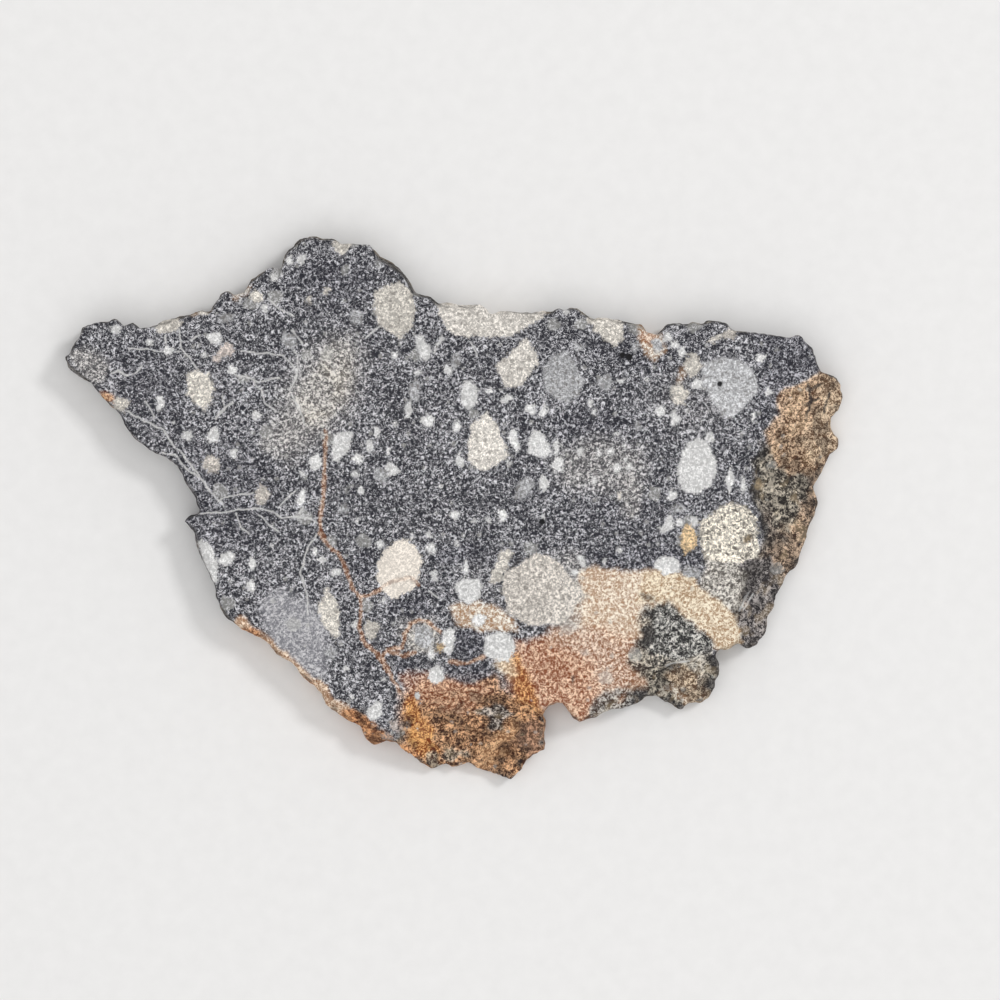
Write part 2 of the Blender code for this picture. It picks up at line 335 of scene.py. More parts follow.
# %% Outlines of clasts
def oval(x, y, half_width, half_height, lean=0, sides=12, uneven=0.0, chance=random.Random(7)):
    """Corners on an oval in the photograph; lean is in degrees, clockwise from upright."""
    turn = math.radians(lean)
    corners = []
    for side in range(sides):
        angle = math.tau * (side + uneven * chance.uniform(-0.35, 0.35)) / sides
        reach = 1 + uneven * chance.uniform(-0.18, 0.22)
        across = half_width * reach * math.cos(angle)
        along = half_height * reach * math.sin(angle)
        corners.append((
            x + across * math.cos(turn) - along * math.sin(turn),
            y + across * math.sin(turn) + along * math.cos(turn),
        ))
    return np.array(corners)


def outside_by(places, corners):
    """How far each place is outside an outline, in pixels; inside it is below zero."""
    nearest = np.full(len(places), np.inf)
    inside = np.zeros(len(places), bool)
    for start, end in zip(corners, np.roll(corners, -1, axis=0)):
        side = end - start
        share = np.clip((places - start) @ side / (side @ side), 0, 1)
        nearest = np.minimum(nearest, np.hypot(*(places - start - share[:, None] * side).T))
        spans = (start[1] > places[:, 1]) != (end[1] > places[:, 1])
        crossing = start[0] + (places[:, 1] - start[1]) * side[0] / (side[1] or 1e-9)
        inside ^= spans & (places[:, 0] < crossing)
    return np.where(inside, -nearest, nearest)


# %% Small clasts, by tone: x, y, half width and half height in pixels, and sometimes the lean
SMALL_CLASTS = {
    "white": [
        (116, 329, 6, 5), (214, 338, 8, 7), (232, 370, 6, 5), (160, 403, 5, 7), (187, 436, 6, 5),
        (213, 435, 6, 8), (234, 454, 4, 6), (149, 342, 4, 4), (170, 350, 6, 5), (204, 355, 3, 3),
        (288, 260, 5, 4), (302, 260, 5, 5), (275, 277, 5, 5), (264, 308, 4, 4), (240, 302, 2, 3),
        (394, 355, 4, 5), (257, 415, 5, 6), (438, 344, 2, 9, 35), (448, 370, 5, 5),
        (469, 396, 9, 15, -10), (506, 399, 7, 4, -10), (408, 410, 5, 8), (427, 420, 8, 7), (531, 408, 6, 5),
        (543, 411, 5, 7), (457, 426, 4, 7, 15), (418, 372, 4, 5), (490, 391, 4, 3), (667, 338, 5, 5),
        (675, 345, 4, 4), (682, 352, 5, 6), (697, 384, 5, 6), (660, 411, 5, 5), (675, 419, 5, 8),
        (620, 381, 5, 4), (648, 380, 3, 3), (590, 403, 3, 4), (595, 411, 3, 4), (709, 437, 6, 7),
        (557, 465, 6, 9, 15), (556, 447, 3, 10), (616, 468, 4, 5), (629, 467, 4.5, 4.5), (625, 458, 3, 4),
        (610, 451, 4, 4), (754, 416, 3, 6), (769, 392, 4, 4), (761, 358, 5, 5), (514, 440, 6, 13, -15),
        (460, 461, 4.5, 7), (509, 463, 3, 3), (544, 484, 5, 9), (455, 515, 5, 4), (441, 487, 3, 2),
        (502, 515, 5, 7, 15), (488, 520, 4, 3), (475, 522, 2.5, 2.5), (412, 536, 3.5, 3.5), (428, 535, 4, 4),
        (431, 548, 5.5, 5.5), (380, 544, 4, 4), (456, 544, 2, 5), (435, 576, 4.5, 6), (466, 568, 2.5, 8),
        (376, 432, 3.5, 5), (394, 424, 2.5, 2.5), (370, 446, 4, 6), (388, 451, 3, 5), (358, 459, 6, 6),
        (356, 474, 4, 4), (391, 470, 8, 8), (360, 491, 3, 3), (357, 520, 4, 3), (315, 463, 6.5, 9),
        (303, 473, 3, 5), (301, 499, 4, 8, 15), (227, 559, 9, 8), (252, 563, 4, 7), (250, 586, 5, 6),
        (314, 552, 4, 4), (322, 560, 5, 5), (336, 572, 5, 4), (375, 712, 11, 8, -50), (383, 679, 3, 3),
        (345, 669, 4, 4), (355, 626, 3, 5), (384, 601, 3, 3), (352, 697, 3, 3), (431, 655, 5, 6),
        (436, 674, 8, 9), (478, 620, 8, 6), (448, 641, 7, 14, 10), (580, 452, 4, 4), (599, 453, 3, 5),
        (593, 479, 3, 5), (624, 447, 3, 3), (617, 434, 2.5, 2.5), (667, 525, 6, 9, 25), (679, 523, 3, 5),
        (694, 521, 5, 5), (672, 496, 5, 5), (667, 564, 13, 10), (743, 484, 3.5, 9), (730, 480, 4.5, 12), (582, 562, 3, 7, -25),
        (575, 572, 4, 4), (605, 562, 3, 3), (620, 551, 3, 3), (470, 590, 15, 12), (501, 647, 16, 16),
        (418, 732, 2.5, 11, -22), (408, 727, 2, 3), (417, 696, 3, 3), (421, 704, 2, 3),
        (544, 517, 2, 2), (566, 312, 5, 3), (782, 478, 3, 3),
    ],
    "cream": [
        (371, 630, 8, 9), (501, 566, 7, 19, 25), (256, 297, 7, 6), (326, 291, 5, 3, -30), (308, 300, 4, 4),
        (693, 365, 8, 13), (330, 615, 12, 25, -15),
        (204, 312, 6, 4), (241, 290, 7, 4), (716, 339, 8, 3, -20), (620, 495, 3, 4),
        (756, 580, 4, 5), (121, 404, 8, 7),
    ],
    "grey": [
        (227, 318, 9, 6), (356, 316, 7, 7), (378, 264, 5, 5), (289, 340, 9, 9), (415, 391, 6, 12),
        (456, 361, 6, 9), (606, 383, 8, 8), (638, 426, 4, 5), (523, 489, 8, 15, 28), (381, 476, 7, 10),
        (343, 510, 5, 5), (331, 652, 5, 7), (679, 509, 7, 5), (423, 637, 12, 11),
        (657, 345, 7, 8), (562, 376, 20, 26, -10), (579, 347, 5, 4), (635, 347, 5, 5), (692, 572, 9, 7),
    ],
    "beige": [
        (211, 464, 9, 9), (262, 495, 8, 11), (730, 334, 8, 6), (541, 592, 37, 38),
    ],
    "tan": [
        (801, 522, 7, 5), (689, 538, 8, 17), (440, 647, 4, 4),
        (522, 735, 5, 5),
    ],
    "pink": [
        (227, 350, 9, 7), (217, 358, 4, 5, 40), (395, 725, 5, 5),
    ],
    "dusky": [(759, 483, 8, 8), (784, 532, 5, 4), (748, 540, 4, 5)],
}
print("small clasts:", sum(len(group) for group in SMALL_CLASTS.values()))

# %% Large clasts, by tone: the corners of each in pixels
LARGE_CLASTS = {
    "white": [
        [(533, 430), (541, 433), (548, 442), (551, 452), (547, 458), (537, 457), (527, 452), (529, 440)],
        [
            (688, 443), (698, 437), (707, 443), (715, 457), (717, 470), (710, 487), (700, 493),
            (688, 493), (679, 487), (677, 470), (682, 453),
        ],
        [(416, 335), (424, 335), (431, 350), (428, 362), (421, 360), (416, 348)],
        [(197, 542), (204, 538), (213, 549), (217, 558), (219, 574), (217, 586), (208, 577), (202, 564)],
        [(332, 435), (354, 431), (350, 449), (338, 464), (331, 461)],
    ],
    "cream": [
        [(671, 386), (683, 384), (689, 393), (686, 405), (675, 405), (671, 396)],
        [(331, 240), (350, 240), (352, 246), (341, 256), (334, 250)],
        [(156, 318), (165, 315), (180, 316), (182, 324), (174, 332), (160, 333), (154, 326)],
        [(186, 374), (196, 370), (209, 374), (214, 388), (212, 402), (205, 411), (195, 405), (187, 393)],
        [
            (375, 292), (385, 285), (400, 282), (412, 290), (416, 310), (412, 327), (400, 340), (390, 332),
            (377, 322), (372, 307),
        ],
        [(580, 306), (583, 314), (591, 325), (596, 332), (608, 343), (615, 349), (623, 341), (624, 320), (600, 308)],
    ],
    "pale": [
        [(495, 365), (513, 352), (526, 337), (536, 352), (538, 365), (520, 387), (505, 389)],
        [
            (436, 304), (441, 319), (447, 331), (459, 336), (485, 337), (508, 337), (521, 332),
            (531, 324), (541, 319), (556, 306), (548, 296), (440, 294),
        ],
        [
            (472, 422), (488, 412), (497, 423), (502, 437), (509, 456), (500, 463), (488, 470),
            (479, 469), (469, 460), (467, 447), (469, 429),
        ],
    ],
    "bright": [
        [
            (401, 538), (414, 545), (423, 561), (418, 579), (415, 589), (393, 600), (382, 590),
            (378, 579), (377, 564), (384, 549),
        ],
    ],
    "speckled": [
        [
            (711, 514), (729, 501), (744, 504), (757, 517), (758, 542), (760, 558), (739, 563),
            (721, 563), (705, 558), (699, 541), (701, 522),
        ],
    ],
    "blue grey": [
        [
            (702, 363), (720, 358), (743, 360), (757, 377), (758, 393), (748, 403), (733, 418),
            (723, 417), (710, 397), (702, 383),
        ],
    ],
}
print("large clasts:", sum(len(group) for group in LARGE_CLASTS.values()))

# %% [markdown]
# ## Wearing the clasts
#
# Every clast writes three things on the mesh: how far its outline is, its own colour, and how many dark
# specks it holds. Where two lie side by side, the nearer one wins. A clast gets smaller with depth, so
# that the big ones reach the lower cut and the small ones don't.

# %% Colours of clasts, as they are seen, and their dark specks
CLAST_LOOKS = {
    "white": ((224, 223, 222), 0.12),
    "cream": ((217, 211, 202), 0.40),
    "pale": ((228, 222, 214), 0.38),
    "bright": ((236, 227, 216), 0.00),
    "speckled": ((228, 220, 206), 0.85),
    "grey": ((178, 178, 180), 0.55),
    "beige": ((205, 198, 190), 0.45),
    "blue grey": ((206, 206, 208), 0.45),
    "tan": ((216, 188, 148), 0.60),
    "pink": ((210, 198, 191), 0.35),
    "dusky": ((146, 130, 106), 0.60),
}
CLAST_REACH = 14.0
TAPER = 0.22


def linear(colour):
    """A colour given as it is seen, from 0 to 255, in the linear light that shaders use."""
    seen = np.array(colour) / 255
    return np.where(seen < 0.04045, seen / 12.92, ((seen + 0.055) / 1.055) ** 2.4)


chance = random.Random(7)
clasts = []
for tone, group in SMALL_CLASTS.items():
    clasts += [(tone, oval(*numbers, sides=7, uneven=1.0, chance=chance)) for numbers in group]
for tone, group in LARGE_CLASTS.items():
    clasts += [(tone, np.array(corners, float)) for corners in group]

places = photo_places(points)
down = (high.z - points[:, 2]) / PIXEL
warp = np.array([noise.noise_vector(Vector(place) / 7) for place in zip(*places.T, down)])[:, :2]
bent = places + 2.2 * warp
clast_edge = np.full(len(points), CLAST_REACH)
clast_colour = np.tile(linear((226, 226, 222)), (len(points), 1))
clast_specks = np.zeros(len(points))
shrink = TAPER * down
for tone, corners in sorted(clasts, key=lambda clast: -np.ptp(clast[1][:, 0])):
    near = np.flatnonzero(
        (bent > corners.min(0) - CLAST_REACH).all(1) & (bent < corners.max(0) + CLAST_REACH).all(1)
    )
    edge = outside_by(bent[near], corners) + shrink[near]
    small_first = np.minimum(clast_edge[near], CLAST_REACH)
    wins = (edge < small_first) | (edge < 0.5)
    colour, specks = CLAST_LOOKS[tone]
    own = near[wins]
    clast_edge[own] = edge[wins]
    clast_colour[own] = linear(colour) * chance.uniform(0.88, 1.08)
    clast_specks[own] = specks
print("clasts:", len(clasts), "over", int((clast_edge < 0).sum()), "points")

# %% How far each point is from a vein
white_vein = from_lines(places + 1.6 * warp, WHITE_VEINS)
rust_vein = from_lines(places + 2.0 * warp, RUST_VEINS)
dark_seam_and_rim_shade = from_lines(places + 1.5 * warp, DARK_SEAMS_AND_RIM_SHADE)
print("vein lines:", len(WHITE_VEINS) + len(RUST_VEINS), "and dark seams:", len(DARK_SEAMS_AND_RIM_SHADE))

# %% [markdown]
# ## The ground between the clasts
#
# Seen close, the ground is never one colour. It is two: pale grains and dark grains, in a share that
# changes from place to place. So a zone of the rock is its pale colour, its dark colour, the share of dark
# and how bold the grains are, from 0 for fine to 1 for coarse. The zones are laid one over another like
# washes of paint, with soft, wandering edges. They wander more with depth, so that no stain runs
# straight down a side wall.

# %% Zones of the ground, with their colours as seen
ZONE_LOOKS = {
    "ground": ((220, 219, 223), (36, 36, 44), 0.66, 0.2),
    "dark ground": ((196, 195, 202), (30, 30, 40), 0.71, 0.2),
    "pale ground": ((226, 222, 218), (80, 78, 80), 0.46, 0.2),
    "blue ground": ((204, 202, 204), (126, 126, 132), 0.40, 0.1),
    "sand": ((253, 242, 224), (176, 140, 110), 0.38, 0.0),
    "yellow sand": ((252, 239, 214), (168, 135, 102), 0.35, 0.1),
    "cream mottle": ((250, 244, 232), (164, 126, 92), 0.37, 0.3),
    "peach": ((252, 228, 204), (152, 102, 70), 0.40, 0.1),
    "rust": ((246, 210, 178), (130, 66, 36), 0.42, 0.2),
    "orange": ((248, 190, 120), (122, 54, 18), 0.46, 0.3),
    "brown": ((250, 196, 148), (72, 38, 22), 0.43, 0.5),
    "smooth brown": ((236, 192, 148), (128, 86, 56), 0.39, 0.1),
    "dusky brown": ((204, 160, 132), (92, 66, 50), 0.44, 0.2),
    "tan skin": ((242, 210, 176), (84, 55, 37), 0.43, 0.5),
    "pale tan skin": ((240, 216, 186), (96, 72, 54), 0.44, 0.5),
    "dark skin": ((218, 208, 190), (38, 35, 34), 0.56, 1.0),
    "black": ((96, 93, 92), (30, 28, 29), 0.60, 0.2),
    "cream rim": ((255, 232, 206), (156, 114, 82), 0.37, 0.3),
    "rust rim": ((246, 182, 130), (100, 54, 30), 0.42, 0.5),
    "grey skin": ((204, 188, 172), (50, 40, 36), 0.52, 0.8),
    "brown skin": ((214, 184, 156), (60, 46, 38), 0.48, 0.7),
    "cream speckle": ((236, 230, 220), (96, 90, 84), 0.31, 0.4),
    "white speckle": ((224, 222, 216), (30, 29, 30), 0.60, 0.8),
    "blue skin": ((178, 172, 170), (44, 41, 44), 0.54, 0.7),
    # the look of every uncut surface: partly the broken stone's own tone, partly painted shade on the walls
    "broken wall with painted shade": ((132, 128, 124), (40, 38, 40), 0.58, 0.6),
}
# name of the look, corners in pixels, softness in pixels, strength
ZONES = [
    ("dark ground", oval(640, 520, 66, 28), 18, 0.3),
    ("dark ground", oval(465, 556, 34, 12), 8, 0.8),
    ("dark ground", oval(590, 424, 40, 16), 10, 0.6),
    ("dark ground", oval(330, 282, 46, 22), 14, 0.6),
    ("dark ground", oval(220, 500, 60, 60), 26, 0.5),
    ("dark ground", oval(150, 385, 50, 30, 60), 20, 0.4),
    ("pale ground", oval(600, 465, 46, 30), 20, 0.7),
    ("pale ground", oval(318, 395, 34, 72, 30), 22, 0.8),
    ("cream speckle", oval(326, 388, 20, 42, 25), 16, 0.9),
    ("pale ground", oval(89, 364, 13, 22, -35), 8, 0.85),
    ("pale ground", oval(629, 495, 12, 19), 7, 0.8),
    ("pale ground", oval(336, 361, 11, 14, 20), 7, 0.7),
    ("pale ground", oval(320, 393, 18, 15, 40), 8, 0.7),
    ("pale ground", oval(290, 430, 15, 16, 40), 8, 0.7),
    ("pale ground", oval(270, 446, 10, 8), 6, 0.7),
    ("dark ground", [(752, 330), (812, 336), (824, 372), (790, 384), (768, 420), (756, 440), (762, 380)], 10, 0.8),
    ("dark ground", oval(640, 350, 60, 18), 14, 0.4),
    ("pale ground", oval(690, 400, 44, 34), 24, 0.2),
    ("pale ground", oval(570, 590, 30, 40), 14, 0.8),
    ("pale ground", oval(480, 600, 26, 50, 10), 16, 0.15),
    ("blue ground", oval(296, 632, 29, 50, -30), 12, 0.9),
    ("cream mottle", [(448, 606), (462, 601), (490, 604), (512, 614), (514, 628), (496, 630), (484, 634),
                      (470, 630), (456, 622)], 5, 0.95),
    ("dark ground", oval(640, 560, 60, 14), 10, 0.8),
    ("grey skin", [(762, 446), (800, 452), (824, 480), (822, 520), (800, 560), (790, 600), (755, 655),
                   (732, 605), (748, 560), (766, 540), (768, 500)], 10, 0.9),
    ("brown skin", [(806, 470), (832, 462), (824, 510), (806, 556), (786, 590), (770, 560), (796, 520)], 9, 0.8),
    ("tan skin", [(811, 380), (822, 370), (844, 380), (850, 398), (836, 420), (845, 440), (832, 462),
                  (812, 478), (796, 482), (786, 472), (768, 455), (766, 433), (776, 413),
                  (780, 390)], 4, 0.95),
    ("pale tan skin", [(820, 374), (842, 380), (850, 398), (836, 420), (845, 440), (830, 462), (814, 470),
                       (806, 440), (816, 410)], 10, 0.85),
    ("tan skin", oval(796, 524, 10, 8), 5, 0.7),
    ("dark skin", [(752, 462), (768, 456), (790, 474), (800, 500), (796, 530), (780, 520), (764, 500)], 7, 0.85),
    ("blue skin", [(738, 560), (766, 556), (786, 562), (784, 590), (770, 620), (764, 648), (744, 650),
                   (736, 626), (744, 600)], 7, 0.9),
    ("cream speckle", [(706, 556), (732, 556), (744, 570), (740, 606), (722, 612), (706, 596)], 5, 0.9),
    ("sand", [(581, 576), (600, 570), (640, 572), (664, 576), (664, 604), (648, 640), (610, 640),
              (582, 622)], 6, 0.95),
    ("yellow sand", [(640, 575), (655, 573), (697, 575), (707, 588), (722, 606), (740, 624), (742, 642),
                     (730, 652), (712, 648), (702, 634), (690, 622), (677, 614), (670, 604),
                     (655, 602), (640, 604)], 5, 0.95),
    ("peach", [(556, 624), (598, 622), (630, 634), (648, 658), (644, 690), (606, 706), (576, 728),
               (548, 706), (516, 664), (540, 640)], 12, 0.85),
    ("sand", oval(588, 608, 30, 18, 20), 16, 0.6),
    ("rust", [(512, 640), (548, 640), (592, 664), (604, 698), (576, 728), (548, 712), (524, 716),
              (508, 680)], 11, 0.85),
    ("orange", [(500, 650), (518, 656), (532, 676), (540, 712), (534, 728), (518, 720), (510, 690)], 7, 0.9),
    ("white speckle", oval(612, 704, 22, 10, -20), 5, 0.8),
    ("yellow sand", oval(506, 668, 12, 8, 60), 6, 0.8),
    ("dark skin", [(640, 622), (650, 604), (668, 602), (690, 622), (706, 642), (716, 668), (700, 700),
                   (672, 712), (648, 694), (632, 660)], 7, 0.9),
    ("white speckle", [(646, 608), (668, 604), (690, 624), (710, 646), (706, 660), (676, 660), (648, 652)], 6, 0.9),
    ("pale tan skin", oval(690, 688, 27, 17, 50), 9, 0.85),
    ("cream speckle", oval(702, 668, 9, 16, 20), 5, 0.6),
    ("cream mottle", oval(678, 698, 14, 7), 5, 0.5),
    ("brown", [(399, 690), (440, 676), (492, 676), (520, 700), (548, 718), (544, 756), (512, 784),
               (470, 774), (430, 780), (402, 752)], 9, 0.9),
    ("orange", [(402, 700), (411, 694), (423, 716), (434, 745), (442, 772), (430, 776), (416, 754),
                (404, 732)], 5, 0.95),
    ("rust", [(400, 672), (430, 676), (470, 684), (490, 690), (480, 712), (440, 716), (410, 700)], 8, 0.7),
    ("white speckle", [(484, 708), (498, 702), (508, 712), (500, 736), (484, 734)], 5, 0.8),
    ("smooth brown", [(517, 718), (524, 726), (516, 742), (500, 752), (496, 772), (474, 772), (478, 752),
                      (500, 736)], 4, 0.95),
    ("dusky brown", oval(532, 742, 15, 17, 10), 5, 0.85),
    ("dark skin", oval(456, 758, 9, 9), 5, 0.8),
    ("dark skin", oval(431, 768, 7, 6), 4, 0.8),
    ("cream rim", [(236, 617), (248, 623), (274, 640), (299, 659), (313, 676), (326, 685), (337, 699),
                   (346, 704), (342, 726), (318, 718), (298, 698), (276, 672), (250, 650), (230, 632)], 3, 0.95),
    ("rust rim", [(338, 708), (350, 709), (366, 718), (384, 728), (400, 738), (420, 756), (404, 768),
                  (370, 756), (338, 732)], 4, 0.95),
    ("rust rim", oval(252, 634, 7, 8), 4, 0.9),
    ("rust rim", oval(306, 684, 6, 7, -40), 4, 0.7),
    ("cream mottle", [(636, 324), (656, 326), (666, 348), (652, 356), (640, 342)], 5, 0.9),
    ("rust", oval(648, 336, 9, 8), 4, 0.5),
    ("cream mottle", oval(682, 372, 5, 14, 20), 4, 0.5),
    ("orange", oval(106, 397, 3, 9, -40), 2, 0.7),
    ("cream mottle", oval(200, 311, 12, 5, -20), 3, 0.6),
    ("cream mottle", oval(243, 291, 9, 4, -20), 3, 0.6),
    ("pale ground", oval(420, 634, 26, 20), 8, 0.6),
    ("cream speckle", oval(424, 638, 17, 15), 6, 0.7),
    ("black", oval(644, 638, 7, 9), 3, 0.9),
    ("black", oval(650, 597, 7, 4), 4, 0.7),
    ("black", oval(757, 494, 7, 4), 2, 0.9),
    ("black", oval(704, 653, 3, 8), 2, 0.8),
    ("black", oval(717, 661, 3, 3), 2, 0.8),
    ("black", oval(574, 682, 1.5, 5), 1.5, 0.8),
    ("black", oval(580, 718, 5, 3), 2, 0.9),
    ("black", oval(544, 721, 4, 5), 2, 0.9),
    ("black", oval(523, 762, 4, 3), 2, 0.7),
    ("black", oval(504, 757, 3, 8, 20), 2, 0.6),
    ("dark ground", oval(469, 643, 17, 14), 4, 0.9),
    ("dark ground", oval(467, 674, 25, 13), 4, 0.9),
    ("dark ground", oval(405, 664, 10, 8), 4, 0.9),
    ("dark ground", oval(412, 606, 24, 9), 4, 0.9),
    ("dark ground", oval(365, 566, 12, 14), 4, 0.7),
]

# %% Lay the zones over one another
wander = np.array([
    noise.turbulence_vector(Vector((x / 26, y / 26, 5 + z / 16)), 3, False) for x, y, z in zip(*places.T, down)
])[:, :2]
strayed = places + (7 + 0.4 * down)[:, None] * wander + 2 * warp


def laid_over(under, look, cover):
    """The values of the ground after one look is laid over them, as far as it covers."""
    pale, dark, share, bold = look
    over_it = np.array([*linear(pale), *linear(dark), share, bold])
    return under + cover[:, None] * (over_it - under)


ground = laid_over(np.zeros((len(points), 8)), ZONE_LOOKS["ground"], np.ones(len(points)))
# Every uncut surface first takes a darker look: partly the broken stone's own tone, partly painted shade on its
# steep walls.
ground = laid_over(ground, ZONE_LOOKS["broken wall with painted shade"], rough)
for name, corners, soft, strength in ZONES:
    beyond = outside_by(strayed, np.array(corners, float))
    ground = laid_over(ground, ZONE_LOOKS[name], strength * np.clip(0.5 - beyond / soft, 0, 1))
print("zones:", len(ZONES))

# %% [markdown]
# ## Handing the markings to the finish
#
# Each set of values becomes a named attribute of the mesh. A shader reads it by that name, and it stays
# with the surface from every side.

# %% Write the attributes
def write(name, values):
    """Stores one number or one colour for each point of the mesh."""
    values = np.asarray(values, float).reshape(len(points), -1)
    if values.shape[1] == 1:
        rock.attributes.new(name, "FLOAT", "POINT").data.foreach_set("value", values.ravel())
    else:
        colours = np.hstack([values, np.ones((len(points), 1))])
        rock.attributes.new(name, "FLOAT_COLOR", "POINT").data.foreach_set("color", colours.ravel())


for name, values in {
    "clast_edge": clast_edge, "clast_colour": clast_colour, "clast_specks": clast_specks,
    "white_vein": white_vein, "rust_vein": rust_vein, "dark_seam_and_rim_shade": dark_seam_and_rim_shade, "pit": pit,
    "pale": ground[:, 0:3], "dark": ground[:, 3:6], "share": ground[:, 6], "bold": ground[:, 7],
    "rough": rough, "relief": relief,
}.items():
    write(name, values)
print("attributes:", len(rock.attributes))

# %% [markdown]
# ## Writing shader maths
#
# A material is a net of nodes. To keep it readable, this class wraps a socket, so that a sum written in
# Python adds the Math nodes by itself. Every other node comes from one method, `add`.

# %% A number in a shader, and the maker of a material
class Number:
    """A socket that plain arithmetic can be written on; each sign adds one Math node."""

    def __init__(self, finish, socket):
        self.finish = finish
        self.socket = socket

    def __add__(self, other):
        return self.finish.maths("ADD", self, other)

    def __sub__(self, other):
        return self.finish.maths("SUBTRACT", self, other)

    def __rsub__(self, other):
        return self.finish.maths("SUBTRACT", other, self)

    def __mul__(self, other):
        return self.finish.maths("MULTIPLY", self, other)

    __radd__ = __add__
    __rmul__ = __mul__


class Finish:
    """One material, and the one way that nodes are added to it."""

    def __init__(self, name):
        self.material = bpy.data.materials.new(name)
        self.material.use_nodes = True
        self.nodes = self.material.node_tree.nodes
        self.links = self.material.node_tree.links
        self.nodes.clear()

    def add(self, kind, settings, inputs, output=0):
        """A new node with its settings made first and its sockets filled or linked."""
        node = self.nodes.new(kind)
        for name, setting in settings.items():
            setattr(node, name, setting)
        for name, value in inputs.items():
            if isinstance(value, Number):
                self.links.new(value.socket, node.inputs[name])
            else:
                node.inputs[name].default_value = value
        return Number(self, node.outputs[output])

    def show(self, surface):
        """Makes a shader the one that the material shows."""
        output = self.nodes.new("ShaderNodeOutputMaterial")
        self.links.new(surface.socket, output.inputs["Surface"])

    def maths(self, operation, first, second):
        return self.add("ShaderNodeMath", {"operation": operation}, {0: first, 1: second})

    def attribute(self, name, output="Fac"):
        return self.add("ShaderNodeAttribute", {"attribute_name": name}, {}, output)

    def between(self, value, low, high):
        """0 up to the low value, 1 from the high one, and smooth between them."""
        settings = {"interpolation_type": "SMOOTHSTEP"}
        return self.add("ShaderNodeMapRange", settings, {0: value, 1: low, 2: high, 3: 0.0, 4: 1.0})

    def mix(self, share, first, second, how="MIX"):
        """One colour laid over another by a share from 0 to 1."""
        settings = {"data_type": "RGBA", "blend_type": how}
        return self.add("ShaderNodeMix", settings, {0: share, 6: first, 7: second}, 2)

    def noise(self, place, per_mm, detail=2.0, roughness=0.5, distortion=0.0):
        """A cloudy value about 0.5, with so many lumps to the millimetre."""
        inputs = {"Vector": place, "Scale": per_mm, "Detail": detail, "Roughness": roughness}
        return self.add("ShaderNodeTexNoise", {}, inputs | {"Distortion": distortion})


def paint(colour):
    """A colour as seen, from 0 to 255, made ready for a socket."""
    return (*linear(colour), 1.0)


# %% [markdown]
# ## The finish of the rock
#
# The grains come first: a fine noise with a strong contrast gives the pale and dark grains that a sawn
# breccia shows, and the middle level of a winding noise adds short pale strokes between them. Both are
# judged against the share of dark that the zones wrote. Then small clasts that were too many to list,
# the veins, the placed clasts and the pits are laid over it. The pits are painted black as shade, the
# hollows of the rough skin get painted shade, and its knobs a painted highlight.

# %% Grains of the ground
breccia = Finish("lunar_breccia")
place = breccia.add("ShaderNodeTexCoord", {}, {}, "Object")
place = breccia.add("ShaderNodeVectorMath", {"operation": "SCALE"}, {0: place, "Scale": 1 / MM})

rough_skin = breccia.attribute("rough")
fine = breccia.noise(place, 5.0, detail=1.0, distortion=0.8)
coarse = breccia.noise(place, 1.9, detail=3.0, roughness=0.6)
patchy = breccia.noise(place, 0.55, detail=2.0)
winding = breccia.noise(place, 3.2, detail=0.0, distortion=2.2) - 0.5
strokes = 1.0 - breccia.between(breccia.maths("ABSOLUTE", winding, 0.0), 0.0, 0.07)
bold = breccia.attribute("bold")
grain = (fine - 0.5) * 2.8 + (coarse - 0.5) * (bold * 3.0) + (patchy - 0.5) * 0.6
grain = grain + strokes * (coarse * 1.8) + 0.13
level = breccia.between(grain - breccia.attribute("share") + 0.6, -0.22, 1.02)
colour = breccia.mix(level * level, breccia.attribute("dark", "Color"), breccia.attribute("pale", "Color"))
print("grain nodes:", len(breccia.nodes))

# %% Small clasts that no table places
SCATTER = {"crumbs": (1.35, 0.17, 0.62), "chips": (0.55, 0.24, 0.66)}


def scattered(per_mm, radius, rarity):
    """How much of a place is covered by clasts strewn at random through the rock."""
    bent_place = breccia.add(
        "ShaderNodeVectorMath", {"operation": "MULTIPLY_ADD"},
        {0: breccia.add("ShaderNodeTexNoise", {}, {"Vector": place, "Scale": 3.0 * per_mm}, "Color"),
         1: (0.35 / per_mm,) * 3, 2: place},
    )
    cells = {"Vector": bent_place, "Scale": per_mm}
    away = breccia.add("ShaderNodeTexVoronoi", {}, cells, "Distance")
    kind = breccia.add("ShaderNodeTexVoronoi", {}, cells, "Color")
    chosen = breccia.between(kind, rarity, rarity + 0.02)
    return chosen * (1.0 - breccia.between(away, radius, radius + 0.08))


lower_cut = 1.0 - breccia.between(breccia.add("ShaderNodeSeparateXYZ", {}, {0: place}, "Z"), 0.02, 0.5)
for name, (per_mm, radius, rarity) in SCATTER.items():
    amount = scattered(per_mm, radius, rarity) * (0.35 + lower_cut * 0.5)
    colour = breccia.mix(amount, colour, paint((196, 195, 190)))
print("with scattered clasts:", len(breccia.nodes))

# %% White veins, dark seams, and painted shade in lines along the rim
ragged = (fine - 0.5) * 2.0
white = 1.0 - breccia.between(breccia.attribute("white_vein") + ragged * 1.3, 0.2, 1.4)
colour = breccia.mix(white * (level * 0.3 + 0.68), colour, paint((216, 215, 213)))
# dark seams, and painted shade of the rim wall where a line lies along the rim
seam_and_rim_shade = 1.0 - breccia.between(breccia.attribute("dark_seam_and_rim_shade") + ragged * 0.6, 0.6, 2.2)
colour = breccia.mix(seam_and_rim_shade * 0.8, colour, paint((48, 46, 48)))

